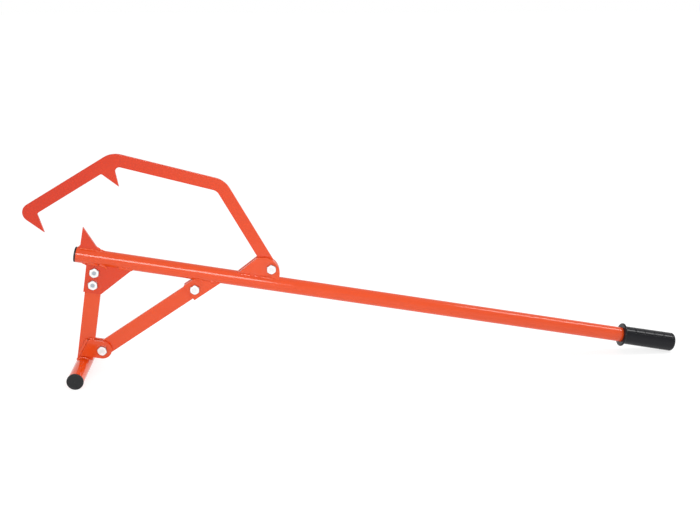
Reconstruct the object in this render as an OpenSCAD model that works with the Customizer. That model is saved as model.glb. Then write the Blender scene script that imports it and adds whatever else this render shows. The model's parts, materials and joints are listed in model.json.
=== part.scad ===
// Cant hook: a tube handle with a swinging two-tooth hook, a spike and a bolted A-frame stand.
// Every shape is laid out on the handle: x runs back from the front end, y runs across,
// z rises from the handle's axis. One last turn then stands the tool on its foot and its grip.

/* [Handle] */
// Length over all, from the front plug to the end of the grip
tool_length = 1229; // [1000:1:1500]
// Outside diameter of the handle tube and the foot tube
tube_d = 30; // [27:0.5:33]
// Wall of both tubes
tube_wall = 2; // [1.5:0.25:3]
// Thickness of a plug's flange
plug_flange_t = 3.5; // [2:0.5:6]
// Depth of a plug's cup inside its tube
plug_depth = 16; // [8:1:30]
// Wall of a plug's cup
plug_wall = 2; // [1.5:0.25:3]

/* [Grip] */
// Length of the grip with its flange
grip_length = 115; // [90:1:160]
// Wall of the grip beside the flange
grip_wall = 3.5; // [2.5:0.25:6]
// How much thicker the wall is at the closed end
grip_swell = 0.5; // [0:0.25:3]
// How far the hand guard flange stands out from the tube
grip_flange_rise = 9; // [7:0.5:15]
// Thickness of the hand guard flange
grip_flange_t = 4.5; // [3:0.5:8]
// Rounding of the closed end
grip_edge_r = 5; // [2:0.5:8]
// Thickness of the closed end
grip_end_wall = 5.5; // [3:0.5:10]

/* [Bars and plates] */
// Thickness of the hook, the leg, the brace and the spike
bar_t = 6; // [5:0.5:8]
// Thickness of the gussets, lugs, brackets and ears
plate_t = 6; // [4:0.5:8]
// Width of the leg and the brace
bar_w = 30; // [24:1:32]

/* [Spike] */
// Place of the spike's upright front edge
spike_x = 8.5; // [6:0.5:14]
// Length of the spike's base
spike_base = 36; // [28:1:50]
// How far the tip stands back from the front edge
spike_lean = 1.5; // [0:0.5:6]
// Height of the tip above the handle
spike_h = 41; // [26:1:54]

/* [Stand] */
// Place of the leg's centre line along the handle
leg_x = 42; // [36:1:48]
// Gap between the handle and the leg's upper end
leg_gap = 2; // [1:0.5:5]
// Distance from the leg's upper end to its first bolt
leg_bolt_edge = 11; // [9:0.5:16]
// Distance between the leg's two bolts
leg_bolt_pitch = 25; // [22:0.5:30]
// Drop of the foot tube's axis below the handle's axis
foot_drop = 223; // [213:1:245]
// How far the foot tube's axis lies in front of the leg's centre line
foot_lead = 2; // [0:0.5:4]
// Length of the foot over its caps
foot_length = 180; // [140:2:260]
// How far a foot cap's flange stands out past its tube
foot_cap_lip = 1; // [0.5:0.25:4]
// How far the coped end of the leg reaches down over the foot tube
leg_cope = 3; // [1:0.5:6]
// How far the gussets stand out past the leg's edges
gusset_lip = 2; // [0:0.5:6]
// Distance from the leg's second bolt to the gussets' lower edge
gusset_edge = 17; // [11:0.5:26]
// Length of the gussets along the handle's axis
gusset_length = 98; // [76:1:126]

/* [Brace] */
// Gap between the leg and the brace's lower end
brace_gap = 2; // [1:0.5:8]
// Height of the lower bolt above the foot tube's axis
lug_bolt_rise = 38; // [36:0.5:46]
// How far the lugs stand out past the brace's lower end
lug_lip = 3; // [1:0.5:5]
// How far the lugs' upper front corner lies behind the leg's centre line
lug_top_lag = 3; // [-4:0.5:8]
// How far the lugs' lower front corner lies in front of the leg's centre line
lug_foot_lead = 9; // [0:0.5:12]
// Place of the upper bolt along the handle
brace_bolt_x = 235; // [215:1:260]
// Gap between the handle and the brace's upper end
brace_top_gap = 2.5; // [1:0.5:6]
// How far the brackets stand out past the brace's edges
bracket_lip = 3; // [1:0.5:7]
// Distance from the upper bolt to the brackets' lower end
bracket_end = 14; // [12:0.5:18]

/* [Hook] */
// Place of the hook's pivot along the handle
pivot_x = 375.5; // [370:0.5:380]
// Gap between the handle and the hook's eye
eye_gap = 3.5; // [2:0.5:6]
// How far the hook's eye stands out past the arm's edges
eye_lip = 1; // [0:0.5:3]
// Width of the hook's arms
hook_w = 24; // [20:0.5:26]
// Place of the rear bend along the handle
rear_bend_x = 255; // [245:1:265]
// Height of the rear bend above the handle's axis
rear_bend_rise = 178; // [168:1:188]
// Place of the front bend along the handle
front_bend_x = 50.5; // [44:0.5:58]
// Height of the front bend above the handle's axis
front_bend_rise = 195; // [188:1:202]
// Slope of the front arm below the handle's direction
front_arm_slope = 41; // [37:0.5:45]
// Length of the front arm, from the bend to the end tooth
front_arm_length = 188; // [180:1:196]
// Radius of both bends on the arms' centre line
hook_bend_r = 30; // [24:1:36]
// Radius of the rounded nose
nose_r = 18; // [16:0.5:20]
// Height of a tooth below the arm
tooth_h = 37; // [28:1:42]
// Width of a tooth's half where it leaves the arm
tooth_half = 14; // [11:0.5:16]
// Width of the end tooth's half that faces the arm
end_tooth_back = 10; // [8:0.5:14]
// Distance of the inner tooth from the front bend
inner_tooth = 20; // [16:1:24]
// Radius of the fillet behind the inner tooth
rear_root_r = 8; // [4:0.5:10]
// Radius of the fillets in front of the inner tooth and behind the end tooth
root_r = 4; // [2:0.5:6]
// Side play between the hook and each ear
hook_play = 0.3; // [0.2:0.05:0.5]

/* [Ears] */
// Distance from the pivot to the ears' front foot
ear_front = 75.5; // [60:0.5:85]
// How far the ears' shoulder lies in front of the pivot
ear_shoulder_lead = 31; // [24:0.5:38]
// Height of the ears' shoulder above the pivot
ear_shoulder_rise = 17.5; // [14:0.5:22]
// Rise of the ears' upper edge per millimetre behind the shoulder
ear_top_slope = 0.18; // [0.1:0.02:0.24]
// Radius of the ears' round back
ear_back_r = 32; // [24:0.5:36]
// How far the ears reach behind the pivot
ear_behind = 18; // [16:0.5:22]

/* [Fasteners] */
// Diameter of every bolt
bolt_d = 10; // [8:0.5:11]
// How far a bolt's end stands out of its nut
bolt_reach = 2; // [1:0.5:6]
// Length of the chamfer on a bolt's end
bolt_chamfer = 1; // [0.5:0.1:1.5]
// Width across the flats of heads and nuts
hex_af = 17; // [16:0.5:19]
// Height of a bolt head
head_h = 6.4; // [6:0.1:7]
// How far the round chamfer of heads and nuts starts inside their flats
hex_chamfer = 0.25; // [0.1:0.05:0.6]
// Depth of the dish in a bolt head
dish_depth = 0.7; // [0.4:0.1:1]
// Height of a nut's hexagon
nut_hex_h = 7.5; // [7:0.1:8]
// Height of the collar over a nut's nylon ring
nut_collar_h = 2.5; // [2:0.1:3]
// How far the collar stands inside the flats
nut_collar_in = 1.2; // [1:0.1:1.6]
// Wall of the collar around the nylon ring
nut_collar_wall = 1; // [0.8:0.1:1.2]
// Height of the nylon ring
insert_h = 2; // [1.5:0.1:2.5]
// Thickness of the collar's lip over the nylon ring
insert_lip = 0.5; // [0.3:0.1:0.8]
// Radial gap between a bolt and its holes
bolt_gap = 0.05; // [0.02:0.01:0.09]

/* [Hidden] */
$fn = 96;

// How far a cutter runs past the face that it opens
cut = 1;
// Step of the arcs that round an outline, in degrees
arc_step = 3;

paint = "#e2532f";
plastic = "#1e1e20";
zinc = "#c6c9cc";
nylon = "#e8e6de";

tube_r = tube_d / 2;
tube_bore_r = tube_r - tube_wall;
foot_cap_r = tube_r + foot_cap_lip;
grip_neck_r = tube_r + grip_wall;
grip_end_r = grip_neck_r + grip_swell;
grip_flange_r = tube_r + grip_flange_rise;
lug_r = bar_w / 2 + lug_lip;
bracket_w = bar_w + 2 * bracket_lip;
eye_r = hook_w / 2 + eye_lip;
bolt_r = bolt_d / 2;
hex_r = hex_af / 2 / cos(30);
hex_chamfer_r = hex_af / 2 - hex_chamfer;
nut_collar_r = hex_af / 2 - nut_collar_in;
nut_h = nut_hex_h + nut_collar_h;
insert_r = nut_collar_r - nut_collar_wall;
insert_seat = nut_h - insert_lip - insert_h;

// Turn of each bolt head and nut about its own axis
leg_bolt_turns = [30, 18];
leg_nut_turns = [0, 24];
brace_bolt_turns = [8, 22];
brace_nut_turns = [15, 50];
hook_bolt_turn = 18;
hook_nut_turn = 10;

// Places of the plates across the tool
plate_y = bar_t / 2 + plate_t / 2;
plate_face = bar_t / 2 + plate_t;
ear_y = plate_y + hook_play;
ear_face = plate_face + hook_play;

// Points in the plane of the tool, as x and height
foot = [leg_x - foot_lead, -foot_drop];
leg_top = -tube_r - leg_gap;
leg_bottom = foot.y + tube_r - leg_cope;
leg_bolt_points = [for (i = [0, 1]) [leg_x, leg_top - leg_bolt_edge - i * leg_bolt_pitch]];
gusset_bottom = leg_bolt_points[1].y - gusset_edge;
gusset_front_x = leg_x - bar_w / 2 - gusset_lip;
gusset_rear_x = leg_x + bar_w / 2 + gusset_lip;
lug_bolt = [leg_x + bar_w + brace_gap, foot.y + lug_bolt_rise];
brace_bolt = [brace_bolt_x, -tube_r - bar_w / 2 - brace_top_gap];
brace_bolt_points = [lug_bolt, brace_bolt];
brace_span = brace_bolt - lug_bolt;
brace_angle = atan2(brace_span.y, brace_span.x);
pivot = [pivot_x, tube_r + eye_gap + eye_r];
rear_bend = [rear_bend_x, rear_bend_rise];
front_bend = [front_bend_x, front_bend_rise];
front_arm_angle = 180 + front_arm_slope;
top_arm_angle = heading(front_bend, rear_bend);
rear_arm_angle = heading(rear_bend, pivot);
front_edge = polar(hook_w / 2, front_arm_angle - 90);
top_edge = polar(hook_w / 2, top_arm_angle + 90);
rear_edge = polar(hook_w / 2, rear_arm_angle + 90);
end_tip = on_front_arm(front_arm_length, hook_w / 2 + tooth_h);
end_front_root = on_front_arm(front_arm_length + tooth_half, hook_w / 2);
end_rear_root = on_front_arm(front_arm_length - end_tooth_back, hook_w / 2);
inner_tip = on_front_arm(inner_tooth, hook_w / 2 + tooth_h);
inner_front_root = on_front_arm(inner_tooth + tooth_half, hook_w / 2);
inner_rear_flank = on_front_arm(inner_tooth - tooth_half, hook_w / 2);

// Corners of the hook's outline, each with its radius, from the nose over the top to the end tooth
nose_corner = meet(front_bend + front_edge, front_arm_angle, end_tip, heading(end_tip, end_front_root));
front_corner = meet(front_bend + front_edge, front_arm_angle, front_bend + top_edge, top_arm_angle);
rear_corner = meet(rear_bend + top_edge, top_arm_angle, pivot + rear_edge, rear_arm_angle);
inner_corner = meet(rear_bend - top_edge, top_arm_angle, pivot - rear_edge, rear_arm_angle);
inner_root = meet(rear_bend - top_edge, top_arm_angle, inner_tip, heading(inner_tip, inner_rear_flank));
hook_corners = [
    [nose_corner, nose_r],
    [front_corner, hook_bend_r + hook_w / 2],
    [rear_corner, hook_bend_r + hook_w / 2],
    [pivot + rear_edge, 0],
    [pivot - rear_edge, 0],
    [inner_corner, hook_bend_r - hook_w / 2],
    [inner_root, rear_root_r],
    [inner_tip, 0],
    [inner_front_root, root_r],
    [end_rear_root, root_r],
    [end_tip, 0]
];
nose = corner_centre(end_tip, nose_corner, front_corner, nose_r);

// The floor touches both foot caps and the rounded lower edge of the grip's end
grip_edge = [tool_length - grip_edge_r, grip_edge_r - grip_end_r];
stance_span = grip_edge - foot;
stance_angle = atan2(stance_span.y, stance_span.x)
    + asin((foot_cap_r - grip_edge_r) / norm(stance_span));
handle_rise = foot_cap_r - foot.y * cos(stance_angle) + foot.x * sin(stance_angle);
front_reach = nose.x * cos(stance_angle) + nose.y * sin(stance_angle) - nose_r;
rear_reach = grip_edge.x * cos(stance_angle) - grip_edge.y * sin(stance_angle) + grip_edge_r;
middle_x = (front_reach + rear_reach) / 2;

// Stands the tool on the floor, with the origin under the middle of its length
module stance() {
    translate([-middle_x, 0, handle_rise])
        rotate([0, stance_angle, 0])
            children();
}

// Turns a flat drawing of x and height into a plate of thickness t with its middle at y
module plate(t, y = 0) {
    translate([0, y, 0])
        rotate([90, 0, 0])
            linear_extrude(t, center = true)
                children();
}

// Cylinder across the tool through a point of its plane
module across(point, r, length, y = 0) {
    translate([point.x, y, point.y])
        rotate([90, 0, 0])
            cylinder(r = r, h = length, center = true);
}

// Hole for a bolt, longer than any stack of plates
module bolt_hole(point) {
    across(point, bolt_r + bolt_gap, 4 * plate_face);
}

// The handle's outside as a solid, used to cope plates to it
module handle_core() {
    rotate([0, 90, 0])
        cylinder(r = tube_r, h = tool_length);
}

// Tube along z from the origin
module round_tube(length) {
    difference() {
        cylinder(r = tube_r, h = length);
        translate([0, 0, -cut])
            cylinder(r = tube_bore_r, h = length + 2 * cut);
    }
}

// Plug along z: the flange's outer face at zero, the cup inside the tube above it
module tube_plug(flange_r) {
    cup_r = tube_bore_r - plug_wall;
    difference() {
        union() {
            cylinder(r = flange_r, h = plug_flange_t);
            cylinder(r = tube_bore_r, h = plug_flange_t + plug_depth);
        }
        translate([0, 0, plug_flange_t])
            cylinder(r = cup_r, h = plug_depth + cut);
    }
}

// Hexagon along z whose lower corners are chamfered
module chamfered_hex(h) {
    intersection() {
        cylinder(r = hex_r, h = h, $fn = 6);
        cylinder(r1 = hex_chamfer_r, r2 = hex_chamfer_r + h / tan(30), h = h);
    }
}

// Hex bolt along y with the underside of its head at y = 0, its shank running back through a grip
// of plates and their nut
module bolt(turn, grip_t) {
    length = grip_t + nut_h + bolt_reach;
    rotate([-90, turn, 0]) {
        difference() {
            translate([0, 0, -head_h])
                chamfered_hex(head_h);
            translate([0, 0, -head_h - cut])
                cylinder(r = bolt_r, h = cut + dish_depth);
        }
        cylinder(r = bolt_r, h = length - bolt_chamfer);
        translate([0, 0, length - bolt_chamfer])
            cylinder(r1 = bolt_r, r2 = bolt_r - bolt_chamfer, h = bolt_chamfer);
    }
}

// Lock nut along y with its seat at y = 0 and its collar behind
module lock_nut(turn) {
    rotate([-90, turn, 0])
        difference() {
            union() {
                chamfered_hex(nut_hex_h);
                cylinder(r = nut_collar_r, h = nut_h);
            }
            translate([0, 0, -cut])
                cylinder(r = bolt_r + bolt_gap, h = nut_h + 2 * cut);
            translate([0, 0, insert_seat])
                cylinder(r = insert_r, h = insert_h);
        }
}

// Nylon ring of a lock nut whose seat is at y = 0
module nut_insert() {
    rotate([-90, 0, 0])
        translate([0, 0, insert_seat])
            difference() {
                cylinder(r = insert_r, h = insert_h);
                translate([0, 0, -cut])
                    cylinder(r = bolt_r + bolt_gap, h = insert_h + 2 * cut);
            }
}

// Puts its children at a point of the tool's plane, y away from the middle
module at(point, y) {
    translate([point.x, y, point.y])
        children();
}

function polar(r, a) = r * [cos(a), sin(a)];

function heading(a, b) = atan2(b.y - a.y, b.x - a.x);

// Point on the front arm: distance from the front bend, then depth below the arm's centre line
function on_front_arm(along, depth) =
    front_bend + polar(along, front_arm_angle) + polar(depth, front_arm_angle + 90);

// Point where two lines meet, each given by a point and a direction
function meet(p, p_angle, q, q_angle) =
    p + polar(1, p_angle) * cross(q - p, polar(1, q_angle)) / cross(polar(1, p_angle), polar(1, q_angle));

// Half the angle of the corner p between its neighbours a and b
function half_corner(a, p, b) = acos((a - p) * (b - p) / norm(a - p) / norm(b - p)) / 2;

// Centre of the arc of radius r that rounds the corner p
function corner_centre(a, p, b, r) =
    let (middle = (a - p) / norm(a - p) + (b - p) / norm(b - p))
    p + middle / norm(middle) * r / sin(half_corner(a, p, b));

// Points of that arc, or the corner itself where it is sharp
function corner_arc(a, p, b, r) =
    let (
        centre = corner_centre(a, p, b, r),
        first = p + (a - p) / norm(a - p) * r / tan(half_corner(a, p, b)) - centre,
        last = p + (b - p) / norm(b - p) * r / tan(half_corner(a, p, b)) - centre,
        start = atan2(first.y, first.x),
        sweep = sign(cross(first, last)) * (180 - 2 * half_corner(a, p, b)),
        steps = max(1, ceil(abs(sweep) / arc_step))
    )
    r == 0 ? [p] : [for (k = [0 : steps]) centre + polar(r, start + sweep * k / steps)];

// Outline of a list of corners, each a point and its radius
function rounded(corners) =
    let (n = len(corners))
    [
        for (i = [0 : n - 1])
            each corner_arc(
                corners[(i + n - 1) % n][0], corners[i][0], corners[(i + 1) % n][0], corners[i][1]
            )
    ];

module handle_tube() {
    color(paint)
        stance()
            translate([plug_flange_t, 0, 0])
                rotate([0, 90, 0])
                    round_tube(tool_length - grip_end_wall - plug_flange_t);
}

module handle_plug() {
    color(plastic)
        stance()
            rotate([0, 90, 0])
                tube_plug(tube_r);
}

// Half section of the grip: distance from the axis, then distance from the flange's face
module grip_section() {
    rim_r = grip_flange_t / 2;
    difference() {
        union() {
            square([grip_flange_r - rim_r, grip_flange_t]);
            translate([grip_flange_r - rim_r, rim_r])
                circle(r = rim_r);
            polygon([
                [0, grip_flange_t],
                [grip_neck_r, grip_flange_t],
                [grip_end_r, grip_length - grip_edge_r],
                [grip_end_r - grip_edge_r, grip_length],
                [0, grip_length]
            ]);
            translate([grip_end_r - grip_edge_r, grip_length - grip_edge_r])
                intersection() {
                    circle(r = grip_edge_r);
                    square(grip_edge_r);
                }
        }
        translate([-cut, -cut])
            square([tube_r + cut, grip_length - grip_end_wall + cut]);
    }
}

module grip() {
    color(plastic)
        stance()
            translate([tool_length - grip_length, 0, 0])
                rotate([0, 90, 0])
                    rotate_extrude()
                        grip_section();
}

module spike() {
    color(paint)
        stance()
            difference() {
                plate(bar_t)
                    polygon([
                        [spike_x, 0],
                        [spike_x + spike_lean, tube_r + spike_h],
                        [spike_x + spike_base, tube_r],
                        [spike_x + spike_base, 0]
                    ]);
                handle_core();
            }
}

module gusset(y) {
    color(paint)
        stance()
            difference() {
                plate(plate_t, y)
                    polygon([
                        [gusset_front_x, 0],
                        [gusset_front_x, gusset_bottom],
                        [gusset_rear_x, gusset_bottom],
                        [gusset_front_x + gusset_length, 0]
                    ]);
                handle_core();
                for (point = leg_bolt_points)
                    bolt_hole(point);
            }
}

module gusset_front() {
    gusset(-plate_y);
}

module gusset_rear() {
    gusset(plate_y);
}

module leg() {
    color(paint)
        stance()
            difference() {
                plate(bar_t)
                    translate([leg_x - bar_w / 2, leg_bottom])
                        square([bar_w, leg_top - leg_bottom]);
                across(foot, tube_r, foot_length);
                for (point = leg_bolt_points)
                    bolt_hole(point);
            }
}

module leg_bolts() {
    color(zinc)
        stance()
            for (i = [0, 1])
                at(leg_bolt_points[i], -plate_face)
                    bolt(leg_bolt_turns[i], 2 * plate_face);
}

module leg_nuts() {
    color(zinc)
        stance()
            for (i = [0, 1])
                at(leg_bolt_points[i], plate_face)
                    lock_nut(leg_nut_turns[i]);
}

module foot_tube() {
    length = foot_length - 2 * plug_flange_t;
    color(paint)
        stance()
            at(foot, length / 2)
                rotate([90, 0, 0])
                    round_tube(length);
}

module foot_cap_front() {
    color(plastic)
        stance()
            at(foot, -foot_length / 2)
                rotate([-90, 0, 0])
                    tube_plug(foot_cap_r);
}

module foot_cap_rear() {
    color(plastic)
        stance()
            at(foot, foot_length / 2)
                rotate([90, 0, 0])
                    tube_plug(foot_cap_r);
}

module foot_tab(y) {
    color(paint)
        stance()
            difference() {
                union() {
                    plate(plate_t, y)
                        polygon([
                            [leg_x + lug_top_lag, lug_bolt.y + lug_r],
                            [leg_x - lug_foot_lead, lug_bolt.y - lug_r],
                            [lug_bolt.x, lug_bolt.y - lug_r],
                            [lug_bolt.x, lug_bolt.y + lug_r]
                        ]);
                    across(lug_bolt, lug_r, plate_t, y);
                }
                bolt_hole(lug_bolt);
            }
}

module foot_tab_front() {
    foot_tab(-plate_y);
}

module foot_tab_rear() {
    foot_tab(plate_y);
}

module brace() {
    color(paint)
        stance()
            difference() {
                union() {
                    plate(bar_t)
                        translate(lug_bolt)
                            rotate(brace_angle)
                                translate([0, -bar_w / 2])
                                    square([norm(brace_span), bar_w]);
                    across(lug_bolt, bar_w / 2, bar_t);
                    across(brace_bolt, bar_w / 2, bar_t);
                }
                bolt_hole(lug_bolt);
                bolt_hole(brace_bolt);
            }
}

module brace_bolts() {
    color(zinc)
        stance()
            for (i = [0, 1])
                at(brace_bolt_points[i], -plate_face)
                    bolt(brace_bolt_turns[i], 2 * plate_face);
}

module brace_nuts() {
    color(zinc)
        stance()
            for (i = [0, 1])
                at(brace_bolt_points[i], plate_face)
                    lock_nut(brace_nut_turns[i]);
}

// Strip along the brace that stops at the handle's axis and is then coped to the tube
module brace_bracket(y) {
    along = [cos(brace_angle), sin(brace_angle)];
    side = bracket_w / 2 * [-sin(brace_angle), cos(brace_angle)];
    end = brace_bolt - bracket_end * along;
    upper_end = end + side;
    lower_end = end - side;
    color(paint)
        stance()
            difference() {
                plate(plate_t, y)
                    polygon([
                        upper_end,
                        lower_end,
                        lower_end - lower_end.y / along.y * along,
                        upper_end - upper_end.y / along.y * along
                    ]);
                handle_core();
                bolt_hole(brace_bolt);
            }
}

module brace_bracket_front() {
    brace_bracket(-plate_y);
}

module brace_bracket_rear() {
    brace_bracket(plate_y);
}

// Ear with a sloping front, a slightly rising upper edge and a round back
module hook_bracket(y) {
    shoulder = pivot + [-ear_shoulder_lead, ear_shoulder_rise];
    back_x = pivot.x + ear_behind;
    top = shoulder.y + ear_top_slope * (back_x - shoulder.x);
    color(paint)
        stance()
            difference() {
                plate(plate_t, y)
                    polygon(rounded([
                        [[pivot.x - ear_front, 0], 0],
                        [shoulder, 0],
                        [[back_x, top], ear_back_r],
                        [[back_x, 0], 0]
                    ]));
                handle_core();
                bolt_hole(pivot);
            }
}

module hook_bracket_front() {
    hook_bracket(-ear_y);
}

module hook_bracket_rear() {
    hook_bracket(ear_y);
}

module hook() {
    color(paint)
        stance()
            difference() {
                union() {
                    plate(bar_t)
                        polygon(rounded(hook_corners));
                    across(pivot, eye_r, bar_t);
                }
                bolt_hole(pivot);
            }
}

module hook_bolt() {
    color(zinc)
        stance()
            at(pivot, -ear_face)
                bolt(hook_bolt_turn, 2 * ear_face);
}

module hook_nut() {
    color(zinc)
        stance()
            at(pivot, ear_face)
                lock_nut(hook_nut_turn);
}

module nut_inserts() {
    color(nylon)
        stance() {
            for (point = concat(leg_bolt_points, brace_bolt_points))
                at(point, plate_face)
                    nut_insert();
            at(pivot, ear_face)
                nut_insert();
        }
}

handle_tube();
handle_plug();
grip();
spike();
gusset_front();
gusset_rear();
leg();
leg_bolts();
leg_nuts();
foot_tube();
foot_cap_front();
foot_cap_rear();
foot_tab_front();
foot_tab_rear();
brace();
brace_bolts();
brace_nuts();
brace_bracket_front();
brace_bracket_rear();
hook_bracket_front();
hook_bracket_rear();
hook();
hook_bolt();
hook_nut();
nut_inserts();
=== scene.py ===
import json
import math
import random

import bmesh
import bpy
from mathutils import Matrix, Vector

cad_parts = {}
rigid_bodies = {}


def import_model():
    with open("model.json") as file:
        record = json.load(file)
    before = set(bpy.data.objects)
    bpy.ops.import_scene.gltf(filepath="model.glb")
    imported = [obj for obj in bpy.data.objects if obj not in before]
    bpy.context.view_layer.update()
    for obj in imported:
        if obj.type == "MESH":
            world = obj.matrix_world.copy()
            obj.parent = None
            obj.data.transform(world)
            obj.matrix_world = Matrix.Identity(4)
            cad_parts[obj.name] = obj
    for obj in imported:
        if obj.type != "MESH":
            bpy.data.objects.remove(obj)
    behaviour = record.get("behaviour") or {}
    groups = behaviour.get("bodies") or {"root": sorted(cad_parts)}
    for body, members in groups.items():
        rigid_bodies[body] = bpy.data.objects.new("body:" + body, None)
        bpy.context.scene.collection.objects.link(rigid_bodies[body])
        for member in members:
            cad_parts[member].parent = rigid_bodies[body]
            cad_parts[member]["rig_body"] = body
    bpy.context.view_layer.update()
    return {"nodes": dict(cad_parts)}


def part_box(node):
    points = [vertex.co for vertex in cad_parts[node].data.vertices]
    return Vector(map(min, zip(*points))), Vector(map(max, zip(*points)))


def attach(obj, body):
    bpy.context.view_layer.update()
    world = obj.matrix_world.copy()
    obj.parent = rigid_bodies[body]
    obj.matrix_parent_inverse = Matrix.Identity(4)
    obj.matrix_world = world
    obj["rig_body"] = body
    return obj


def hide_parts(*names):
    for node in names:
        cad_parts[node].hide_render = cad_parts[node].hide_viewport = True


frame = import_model()
print("frame loaded:", len(frame["nodes"]), "solids")

mm = 0.001
chance = random.Random(11)    # every random draw comes from this one

# The tool's own axes, in millimetres: x runs back along the handle from its front end, z stands
# square to the handle, y goes across. Two tubes, known on these axes, show how the tool stands.
tool = {
    "tubeRadius": 15.0,
    "tubeWall": 2.0,
    "handleStart": 3.5,
    "handleEnd": 1223.5,
    "footX": 40.0,
    "footZ": -223.0,
    "footHalf": 86.5,
    "plateFace": 9.0,    # outer face of the welded plates, from the middle plane
}


def boxMiddle(node):
    low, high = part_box(node)
    return (low + high) / 2


handleMiddle = (tool["handleStart"] + tool["handleEnd"]) / 2
footToHandle = boxMiddle("handle_tube") - boxMiddle("foot_tube")
lean = math.atan2(-tool["footZ"], handleMiddle - tool["footX"])
lean -= math.atan2(footToHandle.z, footToHandle.x)
toolAxes = Matrix.Translation(boxMiddle("handle_tube")) @ Matrix.Rotation(lean, 4, "Y")
toolAxes = toolAxes @ Matrix.Scale(mm, 4) @ Matrix.Translation((-handleMiddle, 0, 0))
print("the handle leans", round(math.degrees(lean), 3), "degrees")

# Finishes


def srgb(code):
    channels = [int(code[i:i + 2], 16) / 255 for i in (1, 3, 5)]
    linear = [c / 12.92 if c <= 0.04045 else ((c + 0.055) / 1.055) ** 2.4 for c in channels]
    return (*linear, 1.0)


def addNode(tree, kind, settings=None, inputs=None):
    node = tree.nodes.new(kind)
    for name, value in (settings or {}).items():
        setattr(node, name, value)
    for name, value in (inputs or {}).items():
        if isinstance(value, bpy.types.NodeSocket):
            tree.links.new(value, node.inputs[name])
        else:
            node.inputs[name].default_value = value
    return node


def newFinish(name):
    material = bpy.data.materials.new(name)
    material.use_nodes = True
    tree = material.node_tree
    shader = tree.nodes["Principled BSDF"]
    place = addNode(tree, "ShaderNodeTexCoord").outputs["Object"]
    return material, tree, shader, place


coat = {
    "deep": "#D53002", "pale": "#E54E16",    # thicker and thinner film of the same powder; the deep one also carries the hook's painted shade
    "filmPatch": 70.0,       # mm across a patch where the film is thicker
    "filmNoise": {"Detail": 2.0, "Roughness": 0.45},
    "patchShare": 0.3,       # how far such a patch goes from pale to deep
    "peel": 4.5,             # mm; the real orange peel is near 2 mm, drawn coarser so that it shows
    "wave": 16.0,            # mm; long soft waves left as the film flowed
    "flowNoise": {"Detail": 1.0, "Roughness": 0.4},
    "waveSpan": (0.3, 0.7),  # most of the wave's values, spread over the roughness
    "roughLow": 0.1, "roughHigh": 0.16,
    "specular": 0.5,
    "peelDepth": 0.006, "waveDepth": 0.018,    # mm
}


def makePowderCoat():
    # Baked polyester powder on steel: even, saturated and glossy, with a faint orange peel that
    # breaks up the edges of its highlights
    material, tree, shader, place = newFinish("bakedPowderCoat")
    film = addNode(tree, "ShaderNodeTexNoise", inputs={
        "Vector": place, "Scale": 1 / (coat["filmPatch"] * mm), **coat["filmNoise"]})
    plateDeepening = addNode(tree, "ShaderNodeAttribute", {"attribute_name": "film"})    # a plate's deeper tone; on the hook a painted shade, deepest at its front
    depth = addNode(tree, "ShaderNodeMath", {"operation": "MULTIPLY_ADD", "use_clamp": True}, {
        0: film.outputs["Fac"], 1: coat["patchShare"], 2: plateDeepening.outputs["Fac"]})
    tint = addNode(tree, "ShaderNodeMix", {"data_type": "RGBA"}, {
        0: depth.outputs["Value"], 6: srgb(coat["pale"]), 7: srgb(coat["deep"])})
    peel = addNode(tree, "ShaderNodeTexNoise", inputs={
        "Vector": place, "Scale": 1 / (coat["peel"] * mm), **coat["flowNoise"]})
    wave = addNode(tree, "ShaderNodeTexNoise", inputs={
        "Vector": place, "Scale": 1 / (coat["wave"] * mm), **coat["flowNoise"]})
    gloss = addNode(tree, "ShaderNodeMapRange", inputs={
        "Value": wave.outputs["Fac"],
        "From Min": coat["waveSpan"][0], "From Max": coat["waveSpan"][1],
        "To Min": coat["roughLow"], "To Max": coat["roughHigh"]})
    longBump = addNode(tree, "ShaderNodeBump", inputs={
        "Height": wave.outputs["Fac"], "Distance": coat["waveDepth"] * mm, "Strength": 1.0})
    peelBump = addNode(tree, "ShaderNodeBump", inputs={
        "Height": peel.outputs["Fac"], "Distance": coat["peelDepth"] * mm, "Strength": 1.0,
        "Normal": longBump.outputs["Normal"]})
    tree.links.new(tint.outputs[2], shader.inputs["Base Color"])
    tree.links.new(gloss.outputs["Result"], shader.inputs["Roughness"])
    tree.links.new(peelBump.outputs["Normal"], shader.inputs["Normal"])
    shader.inputs["Specular IOR Level"].default_value = coat["specular"]
    return material


zinc = {
    # the grey one is the middle of a head's dish and the painted shade on its flats and chamfers
    "bright": "#FBFAF7", "cloudy": "#EEEEEE", "dishAndShadeGrey": "#AAB2BA",
    "crystal": 1.6,          # mm; plated crystals are far finer, drawn coarser so that they show
    "cloud": 6.0,            # mm across a cloudier patch of the plating
    "cloudNoise": {"Detail": 3.0, "Roughness": 0.55},
    "cloudSpan": (0.25, 0.75),
    "roughLow": 0.24, "roughHigh": 0.4,
    "crystalDepth": 0.012,   # mm
    "crystalShow": 0.6,      # share of that depth's tilt which is left under the plating
}


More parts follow.
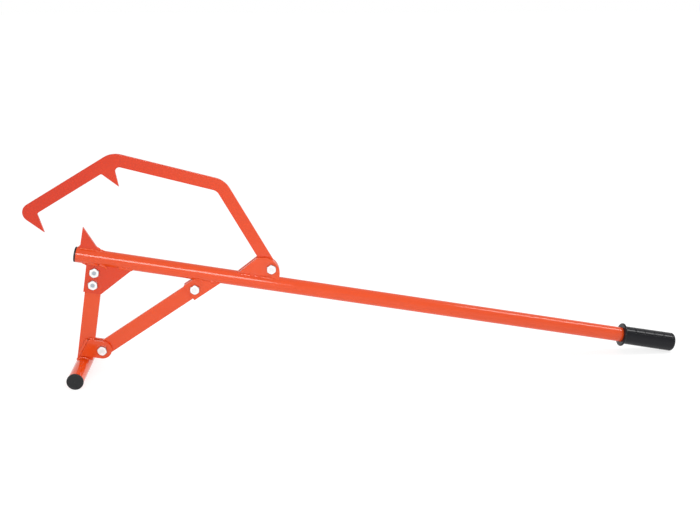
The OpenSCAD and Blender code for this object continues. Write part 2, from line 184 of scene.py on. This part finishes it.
def makeZincPlate():
    # Bright zinc electroplate on steel bolts: pale on the tops of the heads, a bluish grey in the middle
    # of a head's dish and as painted shade on its flats and chamfers, and clouded where it was handled
    material, tree, shader, place = newFinish("brightZincPlate")
    crystal = addNode(tree, "ShaderNodeTexVoronoi", inputs={
        "Vector": place, "Scale": 1 / (zinc["crystal"] * mm), "Randomness": 1.0})
    cloud = addNode(tree, "ShaderNodeTexNoise", inputs={
        "Vector": place, "Scale": 1 / (zinc["cloud"] * mm), **zinc["cloudNoise"]})
    plated = addNode(tree, "ShaderNodeMix", {"data_type": "RGBA"}, {
        0: cloud.outputs["Fac"], 6: srgb(zinc["bright"]), 7: srgb(zinc["cloudy"])})
    greyAndShade = addNode(tree, "ShaderNodeAttribute", {"attribute_name": "greyAndShade"})    # greyer in the dish, and painted shade on a head's flats and chamfers
    tint = addNode(tree, "ShaderNodeMix", {"data_type": "RGBA"}, {
        0: greyAndShade.outputs["Fac"], 6: plated.outputs[2], 7: srgb(zinc["dishAndShadeGrey"])})
    gloss = addNode(tree, "ShaderNodeMapRange", inputs={
        "Value": cloud.outputs["Fac"],
        "From Min": zinc["cloudSpan"][0], "From Max": zinc["cloudSpan"][1],
        "To Min": zinc["roughLow"], "To Max": zinc["roughHigh"]})
    bump = addNode(tree, "ShaderNodeBump", inputs={
        "Height": crystal.outputs["Distance"], "Distance": zinc["crystalDepth"] * mm,
        "Strength": zinc["crystalShow"]})
    tree.links.new(tint.outputs[2], shader.inputs["Base Color"])
    tree.links.new(gloss.outputs["Result"], shader.inputs["Roughness"])
    tree.links.new(bump.outputs["Normal"], shader.inputs["Normal"])
    shader.inputs["Metallic"].default_value = 1.0
    return material


plastics = {
    "gripPvc": {"dark": "#0C0D12", "light": "#14151B", "grain": 1.4, "depth": 0.03,
                "patch": 18.0, "roughLow": 0.18, "roughHigh": 0.26, "specular": 0.25},
    "plugPolyethylene": {"dark": "#101113", "light": "#191A1D", "grain": 1.1, "depth": 0.015,
                         "patch": 9.0, "roughLow": 0.3, "roughHigh": 0.4, "specular": 0.35},
    "lockNylon": {"dark": "#DEDACF", "light": "#EFECE4", "grain": 0.9, "depth": 0.01,
                  "patch": 3.0, "roughLow": 0.35, "roughHigh": 0.45, "specular": 0.5},
}
moulding = {    # what the plastics share
    "grainNoise": {"Detail": 2.0, "Roughness": 0.6},
    "patchNoise": {"Detail": 3.0, "Roughness": 0.5},
    "patchSpan": (0.3, 0.7),
}


def makePlastic(name):
    # Moulded plastics: soft PVC with a leathery grain, polyethylene plugs straight from a polished
    # mould, milky nylon rings. Sizes are in mm, the grain drawn coarser than life so that it shows
    look = plastics[name]
    material, tree, shader, place = newFinish(name)
    grain = addNode(tree, "ShaderNodeTexNoise", inputs={
        "Vector": place, "Scale": 1 / (look["grain"] * mm), **moulding["grainNoise"]})
    patch = addNode(tree, "ShaderNodeTexNoise", inputs={
        "Vector": place, "Scale": 1 / (look["patch"] * mm), **moulding["patchNoise"]})
    tint = addNode(tree, "ShaderNodeMix", {"data_type": "RGBA"}, {
        0: patch.outputs["Fac"], 6: srgb(look["dark"]), 7: srgb(look["light"])})
    gloss = addNode(tree, "ShaderNodeMapRange", inputs={
        "Value": patch.outputs["Fac"],
        "From Min": moulding["patchSpan"][0], "From Max": moulding["patchSpan"][1],
        "To Min": look["roughLow"], "To Max": look["roughHigh"]})
    bump = addNode(tree, "ShaderNodeBump", inputs={
        "Height": grain.outputs["Fac"], "Distance": look["depth"] * mm, "Strength": 1.0})
    tree.links.new(tint.outputs[2], shader.inputs["Base Color"])
    tree.links.new(gloss.outputs["Result"], shader.inputs["Roughness"])
    tree.links.new(bump.outputs["Normal"], shader.inputs["Normal"])
    shader.inputs["Specular IOR Level"].default_value = look["specular"]
    return material


finishes = {
    "orange_powder_coat": makePowderCoat(),
    "zinc_plate": makeZincPlate(),
    "grip_plastic": makePlastic("gripPvc"),
    "plug_plastic": makePlastic("plugPolyethylene"),
    "nylon": makePlastic("lockNylon"),
}
print("finishes mixed:", ", ".join(m.name for m in finishes.values()))

# Shaping tools; every bmesh is in millimetres on the tool's axes until finishPiece stands it up

making = {
    "merge": 0.002,          # mm between points that are one
    "flat": 0.6,             # degrees; faces closer than this are one flat
    "sharp": 28.0,           # degrees at which an edge is broken
    "knife": 100.0,          # edges sharper than this lie under a weld and stay
    "smooth": 38.0,          # degrees up to which shading runs on
    "edgeSegments": 3,
    "cornerSegments": 5,
    "turnSteps": 96,
    "deepeningParts": 40,         # a plate whose tone changes along it, as the hook's painted shade does, is cut into so many parts
}


def merge(bm):
    bmesh.ops.remove_doubles(bm, verts=bm.verts, dist=making["merge"])
    bmesh.ops.recalc_face_normals(bm, faces=bm.faces)


def fromSolid(node):
    # a merged copy of a solid's mesh, its flats cleared of the edges inside them
    bm = bmesh.new()
    bm.from_mesh(frame["nodes"][node].data)
    bmesh.ops.transform(bm, matrix=toolAxes.inverted(), verts=bm.verts)
    merge(bm)
    bmesh.ops.dissolve_limit(bm, angle_limit=math.radians(making["flat"]),
                             verts=bm.verts, edges=bm.edges)
    return bm


def breakEdges(bm, width, edges=None):
    low, high = math.radians(making["sharp"]), math.radians(making["knife"])
    sharp = [e for e in (edges or bm.edges) if low < e.calc_face_angle(0) < high]
    bmesh.ops.bevel(bm, geom=sharp, offset=width, offset_type="OFFSET", affect="EDGES",
                    segments=making["edgeSegments"], profile=0.5, material=-1, clamp_overlap=True)


def markFaces(bm, name, valueOf):
    layer = bm.faces.layers.float.new(name)
    for face in bm.faces:
        face[layer] = valueOf(face)


def turned(corners, steps=making["turnSteps"]):
    # spins a half section about z; each corner is its radius, its place along z and its rounding
    bm = bmesh.new()
    points = [bm.verts.new((radius, 0, along)) for radius, along, rounding in corners]
    for a, b in zip(points, points[1:] + points[:1]):
        if a.co.x or b.co.x:    # two corners on the axis stay open and close as poles
            bm.edges.new((a, b))
    for point, (radius, along, rounding) in zip(points, corners):
        if rounding:
            bmesh.ops.bevel(bm, geom=[point], offset=rounding, offset_type="OFFSET", affect="VERTICES",
                            segments=making["cornerSegments"], profile=0.5, material=-1)
    bmesh.ops.spin(bm, geom=bm.verts[:] + bm.edges[:], cent=(0, 0, 0), axis=(0, 0, 1),
                   angle=2 * math.pi, steps=steps, use_merge=True)
    merge(bm)
    return bm


def alongHandle(x):
    return Matrix.Translation((x, 0, 0)) @ Matrix.Rotation(math.radians(90), 4, "Y")


def acrossFoot(y):
    # z of a turned piece then runs inwards from that side
    place = Matrix.Translation((tool["footX"], y, tool["footZ"]))
    return place @ Matrix.Rotation(math.radians(90 if y > 0 else -90), 4, "X")


def finishPiece(name, bm, slot, body="frame", nodes=(), place=Matrix.Identity(4)):
    merge(bm)
    bmesh.ops.transform(bm, matrix=toolAxes @ place, verts=bm.verts)
    mesh = bpy.data.meshes.new(name)
    bm.to_mesh(mesh)
    bm.free()
    mesh.shade_smooth()
    mesh.set_sharp_from_angle(angle=math.radians(making["smooth"]))
    mesh.materials.append(finishes[slot])
    piece = bpy.data.objects.new(name, mesh)
    bpy.context.scene.collection.objects.link(piece)
    piece.modifiers.new("evenNormals", "WEIGHTED_NORMAL").keep_sharp = True
    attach(piece, body)
    if nodes:
        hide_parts(*nodes)


# Plates and bars, cut from steel and coated: their edges are broken as the coat rounds them

plates = {    # broken edge in mm; how far its tone is pushed towards the deep orange, at its front and at its rear
    # painted shade: the hook's coat darkens from its rear towards its front, as if less light reached
    # its tip; the gussets and spike are set deeper all over
    "hook": (0.9, 1.0, 0.15), "leg": (0.8, 0.0, 0.0), "brace": (0.8, 0.0, 0.0), "spike": (0.6, 0.6, 0.6),
    "gusset_front": (0.8, 0.6, 0.6), "gusset_rear": (0.8, 0.6, 0.6),
    "foot_tab_front": (0.8, 0.0, 0.0), "foot_tab_rear": (0.8, 0.0, 0.0),
    "brace_bracket_front": (0.8, 0.0, 0.0), "brace_bracket_rear": (0.8, 0.0, 0.0),
    "hook_bracket_front": (0.8, 0.0, 0.0), "hook_bracket_rear": (0.8, 0.0, 0.0),
}


def coatPlate(node, width, frontDeepening, rearDeepening):
    plate = fromSolid(node)
    breakEdges(plate, width)
    front, rear = min(v.co.x for v in plate.verts), max(v.co.x for v in plate.verts)
    if frontDeepening != rearDeepening:
        for i in range(1, making["deepeningParts"]):
            cut = (front + (rear - front) * i / making["deepeningParts"], 0, 0)
            bmesh.ops.bisect_plane(plate, geom=plate.verts[:] + plate.edges[:] + plate.faces[:],
                                   dist=making["merge"], plane_co=cut, plane_no=(1, 0, 0))

    def deepeningOn(face):
        share = (face.calc_center_median().x - front) / (rear - front)
        return frontDeepening + share * (rearDeepening - frontDeepening)

    # the film attribute carries each plate's deeper tone, on the hook a painted shade
    markFaces(plate, "film", deepeningOn)
    finishPiece("coated_" + node, plate, "orange_powder_coat", frame["nodes"][node]["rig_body"], [node])


for node, (width, frontDeepening, rearDeepening) in plates.items():
    coatPlate(node, width, frontDeepening, rearDeepening)
print("plates coated:", len(plates))

# Tubes

tubes = {"endRound": 0.5}    # mm


def coatedTube(name, node, start, end, place):
    outer = tool["tubeRadius"]
    inner = outer - tool["tubeWall"]
    corners = [(radius, along, tubes["endRound"])
               for radius, along in ((inner, start), (outer, start), (outer, end), (inner, end))]
    finishPiece(name, turned(corners), "orange_powder_coat", "frame", [node], place)


coatedTube("coated_handle", "handle_tube", tool["handleStart"], tool["handleEnd"], alongHandle(0))
footLength = 2 * tool["footHalf"]
coatedTube("coated_foot", "foot_tube", 0, footLength, acrossFoot(-tool["footHalf"]))
print("tubes coated: 2")

# Plugs: a flange with a soft rim and a shallow dish, and the cup that grips inside the tube

plugs = {
    "flange": 3.5, "cup": 16.0, "cupWall": 2.0,
    "rimRound": 1.3, "backRound": 0.4, "cupRound": 0.8, "cupInside": 0.3,
    "dishRim": 3.2,          # mm from the rim to the dish
    "dishDepth": 0.5, "dishSlope": 0.8, "dishRound": 0.4, "floorRound": 0.5,
    "gateRadius": 1.3, "gateDepth": 0.35, "gateRound": 0.15,    # mark left where the plastic ran in
    "sides": {               # radius of the flange, and its place
        "handle_plug": (15.0, alongHandle(0)),
        "foot_cap_front": (16.0, acrossFoot(-90.0)),
        "foot_cap_rear": (16.0, acrossFoot(90.0)),
    },
}
for node, (flangeRadius, place) in plugs["sides"].items():
    bore = tool["tubeRadius"] - tool["tubeWall"]
    cup = bore - plugs["cupWall"]
    back, tip = plugs["flange"], plugs["flange"] + plugs["cup"]
    dish = flangeRadius - plugs["dishRim"]
    floorAt = plugs["dishDepth"]
    gate = plugs["gateRadius"]
    finishPiece("moulded_" + node, turned([
        (0, floorAt + plugs["gateDepth"], 0),
        (gate, floorAt + plugs["gateDepth"], plugs["gateRound"]),
        (gate + plugs["gateDepth"], floorAt, plugs["gateRound"]),
        (dish - plugs["dishSlope"], floorAt, plugs["floorRound"]),
        (dish, 0, plugs["dishRound"]),
        (flangeRadius, 0, plugs["rimRound"]),
        (flangeRadius, back, plugs["backRound"]),
        (bore, back, 0),
        (bore, tip, plugs["cupRound"]),
        (cup, tip, plugs["cupInside"]),
        (cup, back, 0),
        (0, back, 0),
    ]), "plug_plastic", "frame", [node], place)
print("plugs moulded:", len(plugs["sides"]))

# Grip: a guard disc, a smooth neck and raised pads on top and below, smooth cheeks at the sides

grip = {
    "start": 1114.0, "length": 115.0, "bore": 15.05, "mouthRound": 0.5, "endWall": 5.5,
    "guardRadius": 24.0, "guard": 4.5, "guardRound": 2.1, "guardFillet": 1.8,
    "neckRadius": 18.5, "endRadius": 19.0, "endRound": 5.0,
    "padStart": 27.0, "padLength": 18.4, "padGap": 2.2, "padRows": 4,
    "padHalf": 45.0, "padGutter": 5.0,    # degrees either side of the top and the bottom
    "grooveDepth": 0.9, "grooveSlope": 0.5, "grooveEdge": 0.25,
    "near": 1.0,             # mm; faces so near the bore are its own, edges so near the pads are theirs
    "steps": 72,
}


def gripRadius(along):
    share = (along - grip["guard"]) / (grip["length"] - grip["endRound"] - grip["guard"])
    return grip["neckRadius"] + share * (grip["endRadius"] - grip["neckRadius"])


def makeGrip():
    rowPitch = grip["padLength"] + grip["padGap"]
    rows = [grip["padStart"] + i * rowPitch for i in range(grip["padRows"])]
    grooveStart, grooveEnd = grip["padStart"] - grip["padGap"], rows[-1] + rowPitch
    rings = [grooveStart, *[z for row in rows for z in (row, row + grip["padLength"])], grooveEnd]
    end, floorAt = grip["length"], grip["length"] - grip["endWall"]
    bm = turned([
        (0, floorAt, 0),
        (grip["bore"], floorAt, 0),
        (grip["bore"], 0, grip["mouthRound"]),
        (grip["guardRadius"], 0, grip["guardRound"]),
        (grip["guardRadius"], grip["guard"], grip["guardRound"]),
        (grip["neckRadius"], grip["guard"], grip["guardFillet"]),
        *[(gripRadius(z), z, 0) for z in rings],
        (grip["endRadius"], end, grip["endRound"]),
        (0, end, 0),
    ], grip["steps"])
    grooves = []
    for face in bm.faces:
        middle = face.calc_center_median()
        if middle.xy.length < grip["bore"] + grip["near"] or not grooveStart < middle.z < grooveEnd:
            continue
        fromTop = math.degrees(abs(math.atan2(middle.y, -middle.x)))
        fromRow = min(fromTop, 180 - fromTop)    # the rows on top and below are alike
        onPad = fromRow < grip["padHalf"] and any(r < middle.z < r + grip["padLength"] for r in rows)
        if fromRow < grip["padHalf"] + grip["padGutter"] and not onPad:
            grooves.append(face)
    bmesh.ops.inset_region(bm, faces=grooves, thickness=grip["grooveSlope"], depth=-grip["grooveDepth"],
                           use_boundary=True, use_even_offset=True)
    low, high = grooveStart - grip["near"], grooveEnd + grip["near"]
    padEdges = [e for e in bm.edges if all(low < v.co.z < high for v in e.verts)]
    breakEdges(bm, grip["grooveEdge"], padEdges)
    finishPiece("moulded_grip", bm, "grip_plastic", "frame", ["grip"], alongHandle(grip["start"]))


makeGrip()
print("grip moulded")

# Bolts, nuts and their nylon rings

fasteners = {    # slot, broken edge in mm, and how grey the middle of the head's dish is
    "leg_bolts": ("zinc_plate", 0.3, 1.0),
    "brace_bolts": ("zinc_plate", 0.3, 0.25),
    "hook_bolt": ("zinc_plate", 0.3, 0.25),
    "leg_nuts": ("zinc_plate", 0.25, 0),
    "brace_nuts": ("zinc_plate", 0.25, 0),
    "hook_nut": ("zinc_plate", 0.25, 0),
    "nut_inserts": ("nylon", 0.15, 0),
}
heads = {
    "dishBand": (5.4, 6.1),  # mm from a plate's face to the floor of a head's dish
    "dishRing": 1.1,         # mm round the edge of that floor which stays less grey
    "dishMiddle": 20.0,      # mm2; the middle of the floor is larger than this
    "ringShare": 0.35,       # how grey the ring is beside the middle
    "flankShade": 0.8,        # painted shade: the flats and chamfers of a head are drawn greyer than its top
    "flat": 0.93,            # a face that looks this squarely out of the plate is a top or a floor
}


def onDishFloor(face):
    depth = -face.calc_center_median().y - tool["plateFace"]
    return abs(face.normal.y) > heads["flat"] and heads["dishBand"][0] < depth < heads["dishBand"][1]


# painted shade on the flats and chamfers, a greyer dish floor, bright tops
def greyAndShadeOn(face, dish):
    if abs(face.normal.y) < heads["flat"]:
        return heads["flankShade"]
    if not onDishFloor(face):
        return 0.0
    return dish if face.calc_area() > heads["dishMiddle"] else dish * heads["ringShare"]


for node, (slot, width, dish) in fasteners.items():
    fastener = fromSolid(node)
    breakEdges(fastener, width)
    floors = [face for face in fastener.faces
              if onDishFloor(face) and face.calc_area() > heads["dishMiddle"]]
    bmesh.ops.inset_individual(fastener, faces=floors, thickness=heads["dishRing"], use_even_offset=True)
    markFaces(fastener, "greyAndShade", lambda face: greyAndShadeOn(face, dish))
    finishPiece("made_" + node, fastener, slot, "frame", [node])
print("fasteners made:", len(fasteners))

# Weld beads under the coat, laid where a plate meets a tube or another plate

weld = {
    "step": 0.55,            # mm between the rings of a bead
    "ripple": 2.2,           # mm from one frozen ripple to the next
    "rippleShare": 0.06,     # how much the bead thins from one ripple to the next
    "swell": 9.0, "swellShare": 0.08,    # mm between slow swellings as the torch moved, and their share
    "sides": 20,
    "endShare": 0.25,        # what is left of the bead at its ends
}


def layBead(bm, width, rise, closing, facing, corners):
    # half width in mm, height as a share of it, length of the thinning ends, the way it bulges, its path
    corners = [Vector(c) for c in corners]
    lengths = [(b - a).length for a, b in zip(corners, corners[1:])]
    points = []
    for a, b, length in zip(corners, corners[1:], lengths):
        count = max(1, round(length / weld["step"]))
        points += [a.lerp(b, i / count) for i in range(count)]
    points.append(corners[-1])
    total, run = sum(lengths), 0.0
    phase = chance.uniform(0, 2 * math.pi)
    heading = (points[1] - points[0]).normalized()
    bulge = (Vector(facing) - heading * heading.dot(Vector(facing))).normalized()
    section = Matrix((heading.cross(bulge), bulge, heading)).transposed().to_4x4()
    start = Matrix.Translation(points[0]) @ section @ Matrix.Diagonal((1, rise, 1, 1))
    size = weld["endShare"]
    ring = bmesh.ops.create_circle(bm, cap_ends=True, radius=width * size,
                                   segments=weld["sides"], matrix=start)["verts"]
    edges = list(dict.fromkeys(e for v in ring for e in v.link_edges))    # each once, in a fixed order
    for last, point in zip(points, points[1:]):
        run += (point - last).length
        turn = heading.rotation_difference((point - last).normalized())
        heading = (point - last).normalized()
        closed = min(1.0, run / closing, max(0.0, total - run) / closing)
        wanted = weld["endShare"] + (1 - weld["endShare"]) * math.sin(closed * math.pi / 2)
        wanted *= 1 + weld["swellShare"] * math.sin(run / weld["swell"] * 2 * math.pi + phase)
        wanted *= 1 - weld["rippleShare"] * (run / weld["ripple"] % 1)
        grown = bmesh.ops.extrude_edge_only(bm, edges=edges)["geom"]
        verts = [g for g in grown if isinstance(g, bmesh.types.BMVert)]
        edges = [e for e in grown if isinstance(e, bmesh.types.BMEdge)]
        step = Matrix.Translation(point) @ turn.to_matrix().to_4x4()
        step = step @ Matrix.Scale(wanted / size, 4) @ Matrix.Translation(-last)
        bmesh.ops.transform(bm, matrix=step, verts=verts)
        size = wanted
    bmesh.ops.contextual_create(bm, geom=edges)


beads = {    # runs as layBead takes them; the mirrored ones lie on the far side too
    "spike_side_welds": {"mirrored": True, "runs": [
        (1.7, 0.35, 3.0, (0, -0.7, 0.7), [(8.0, -3.7, 15.2), (45.0, -3.7, 15.2)]),
    ]},
    "spike_end_welds": {"mirrored": False, "runs": [
        (2.4, 0.95, 4.0, (-0.7, 0, 0.7), [(4.4, 0, 14.1), (6.4, 0, 14.6), (8.6, 0, 16.8),
                                          (9.6, 0, 20.5)]),
        (2.8, 0.95, 9.0, (0.5, 0, 0.8), [(58.0, 0, 14.2), (52.0, 0, 14.0), (47.7, 0, 14.6),
                                         (43.0, 0, 17.5), (38.0, 0, 22.0)]),
    ]},
    "gusset_welds": {"mirrored": True, "runs": [
        (2.9, 0.55, 3.5, (0, -0.92, -0.38), [(27.0, -10.0, -12.3), (46.0, -10.0, -12.3)]),
        (2.9, 0.55, 3.5, (0, -0.92, -0.38), [(48.0, -10.0, -12.3), (56.0, -10.0, -12.3),
                                             (61.0, -9.7, -14.0), (64.5, -9.2, -18.5)]),
        (2.8, 0.55, 3.5, (0, -0.92, -0.38), [(84.0, -10.0, -12.3), (113.0, -10.0, -12.3)]),
        (2.3, 0.95, 5.0, (-0.7, 0, -0.7), [(15.5, -6.0, -12.9), (20.0, -6.0, -13.2),
                                           (23.6, -6.0, -14.4), (26.2, -6.0, -17.2)]),
    ]},
    "brace_bracket_welds": {"mirrored": True, "runs": [
        (2.9, 0.55, 3.0, (0, -0.92, -0.38), [(232.0, -10.0, -12.3), (249.0, -10.0, -12.3)]),
        (2.9, 0.55, 3.0, (0, -0.92, -0.38), [(261.0, -10.0, -12.3), (277.0, -10.0, -12.3)]),
    ]},
    "hook_bracket_welds": {"mirrored": True, "runs": [
        (2.9, 0.55, 3.0, (0, -0.92, 0.38), [(317.0, -10.3, 12.2), (338.0, -10.3, 12.2)]),
        (2.6, 0.55, 2.5, (0, -0.92, 0.38), [(343.5, -10.3, 12.2), (351.5, -10.3, 12.2)]),
        (2.9, 0.55, 3.0, (0, -0.92, 0.38), [(355.0, -10.3, 12.2), (382.0, -10.3, 12.2)]),
    ]},
    "foot_tab_welds": {"mirrored": True, "runs": [
        (3.7, 0.5, 3.5, (-0.62, -0.75, 0.2), [(41.6, -5.6, -166.5), (30.0, -5.6, -202.5)]),
        (2.8, 0.5, 2.5, (0, -0.7, 0.7), [(46.0, -4.8, -165.4), (56.0, -4.8, -165.4)]),
    ]},
}
for name, bead in beads.items():
    bm = bmesh.new()
    for width, rise, closing, facing, corners in bead["runs"]:
        layBead(bm, width, rise, closing, facing, corners)
        if bead["mirrored"]:
            facing = (facing[0], -facing[1], facing[2])
            layBead(bm, width, rise, closing, facing, [(x, -y, z) for x, y, z in corners])
    finishPiece(name, bm, "orange_powder_coat")

footWeld = {
    "width": 2.9, "rise": 0.55, "closing": 3.0, "y": 4.6, "out": 1.0,    # mm
    "from": 147.0, "to": 47.0, "corner": 5.0,    # degrees round the foot
}


def makeFootWeld():
    bm = bmesh.new()
    reach = tool["tubeRadius"] + footWeld["out"]
    begin = math.radians(footWeld["from"])
    count = round((footWeld["from"] - footWeld["to"]) / footWeld["corner"])
    for side in (-1, 1):
        corners = []
        for i in range(count + 1):
            angle = math.radians(footWeld["from"] - i * footWeld["corner"])
            corners.append((tool["footX"] + reach * math.cos(angle), side * footWeld["y"],
                            tool["footZ"] + reach * math.sin(angle)))
        facing = (math.cos(begin), side, math.sin(begin))
        layBead(bm, footWeld["width"], footWeld["rise"], footWeld["closing"], facing, corners)
    finishPiece("foot_weld", bm, "orange_powder_coat")


makeFootWeld()
print("welds laid:", len(beads) + 1)

# Floor, light and camera

stageLook = {
    "floorSize": 60.0,       # m
    "floorColour": "#F2F2F2",
    "seenDiffuse": 0.36,     # share of the floor's white that the shadow can darken
    "seenGlow": 0.76,
    "worldLit": 0.81,        # what the surroundings give to the surfaces
    "roomColour": "#FFFFFF",
    "sweepTop": 0.2, "dimFrom": 0.5,    # heights of a ray: white paper up to one, dim from the other
    "overhead": 0.75,        # what gloss sees of the room above the paper
}


def seenDirectly(tree):
    # 1 for what the camera, a reflection or glass looks at, 0 for plain light
    path = addNode(tree, "ShaderNodeLightPath").outputs
    mirrored = addNode(tree, "ShaderNodeMath", {"operation": "MAXIMUM"}, {
        0: path["Is Glossy Ray"], 1: path["Is Transmission Ray"]})
    seen = addNode(tree, "ShaderNodeMath", {"operation": "MAXIMUM"}, {
        0: path["Is Camera Ray"], 1: mirrored.outputs["Value"]})
    return seen.outputs["Value"]


def makeFloor():
    bm = bmesh.new()
    bmesh.ops.create_grid(bm, x_segments=1, y_segments=1, size=stageLook["floorSize"] / 2)
    mesh = bpy.data.meshes.new("floor")
    bm.to_mesh(mesh)
    bm.free()
    material = bpy.data.materials.new("paperSweep")
    material.use_nodes = True
    tree = material.node_tree
    tree.nodes.clear()
    share = stageLook["seenDiffuse"]
    paper = addNode(tree, "ShaderNodeBsdfDiffuse", inputs={"Color": srgb(stageLook["floorColour"])})
    shaded = addNode(tree, "ShaderNodeBsdfDiffuse", inputs={"Color": (share, share, share, 1.0)})
    glow = addNode(tree, "ShaderNodeEmission", inputs={"Strength": stageLook["seenGlow"]})
    white = addNode(tree, "ShaderNodeAddShader", inputs={0: shaded.outputs["BSDF"], 1: glow.outputs[0]})
    both = addNode(tree, "ShaderNodeMixShader", inputs={
        0: seenDirectly(tree), 1: paper.outputs["BSDF"], 2: white.outputs[0]})
    addNode(tree, "ShaderNodeOutputMaterial", inputs={"Surface": both.outputs[0]})
    mesh.materials.append(material)
    floor = bpy.data.objects.new("floor", mesh)
    bpy.context.scene.collection.objects.link(floor)


def makeWorld():
    world = bpy.data.worlds.new("studio")
    world.use_nodes = True
    tree = world.node_tree
    tree.nodes.clear()
    ray = addNode(tree, "ShaderNodeTexCoord").outputs["Generated"]
    height = addNode(tree, "ShaderNodeSeparateXYZ", inputs={"Vector": ray}).outputs["Z"]
    paper = addNode(tree, "ShaderNodeMapRange", inputs={
        "Value": height, "From Min": stageLook["sweepTop"], "From Max": stageLook["dimFrom"],
        "To Min": 1.0, "To Max": stageLook["overhead"]})
    room = srgb(stageLook["roomColour"])
    lit = addNode(tree, "ShaderNodeBackground", inputs={
        "Color": room, "Strength": stageLook["worldLit"]})
    seen = addNode(tree, "ShaderNodeBackground", inputs={
        "Color": room, "Strength": paper.outputs["Result"]})
    both = addNode(tree, "ShaderNodeMixShader", inputs={
        0: seenDirectly(tree), 1: lit.outputs[0], 2: seen.outputs[0]})
    addNode(tree, "ShaderNodeOutputWorld", inputs={"Surface": both.outputs[0]})
    bpy.context.scene.world = world


lamps = {    # where each softbox hangs and what it faces, in m; whether it gives plain light, and gloss
    "frontBox": {"at": (-0.37, -1.12, 0.8), "to": (-0.3, 0.0, 0.25), "size": (0.72, 0.4), "watts": 7.4,
                 "plain": False, "gloss": True},
    "leftBox": {"at": (-1.6, -1.0, 0.7), "to": (-0.4, 0.0, 0.1), "size": (0.6, 0.6), "watts": 2.0,
                "plain": False, "gloss": True},
    "topBox": {"at": (1.5, 0.0, 1.55), "to": (0.7, 0.0, 0.1), "size": (0.32, 1.1), "watts": 10.0,
               "plain": True, "gloss": True},
    "fillBox": {"at": (-0.22, -0.9, 0.45), "to": (-0.25, 0.0, 0.2), "size": (0.4, 0.4), "watts": 2.57,
                "plain": True, "gloss": False},
}


def makeLamps():
    for name, lamp in lamps.items():
        light = bpy.data.lights.new(name, "AREA")
        light.shape = "RECTANGLE"
        light.size, light.size_y = lamp["size"]
        light.energy = lamp["watts"]
        box = bpy.data.objects.new(name, light)
        box.location = lamp["at"]
        facing = Vector(lamp["to"]) - Vector(lamp["at"])
        box.rotation_euler = facing.to_track_quat("-Z", "Y").to_euler()
        box.visible_camera = False
        box.visible_diffuse = lamp["plain"]
        box.visible_glossy = lamp["gloss"]
        bpy.context.scene.collection.objects.link(box)


lens = {
    "at": (-0.18772, -1.73154, 0.72452),        # m
    "turn": (73.5427, 0.0832, -5.1968),         # degrees
    "focal": 47.1805, "sensor": 36.0,           # mm
}


def makeCamera():
    data = bpy.data.cameras.new("camera")
    data.lens = lens["focal"]
    data.sensor_width = lens["sensor"]
    camera = bpy.data.objects.new("camera", data)
    camera.location = lens["at"]
    camera.rotation_euler = [math.radians(a) for a in lens["turn"]]
    bpy.context.scene.collection.objects.link(camera)
    bpy.context.scene.camera = camera


makeFloor()
makeWorld()
makeLamps()
makeCamera()
bpy.context.scene.view_settings.view_transform = "Standard"
print("studio set")
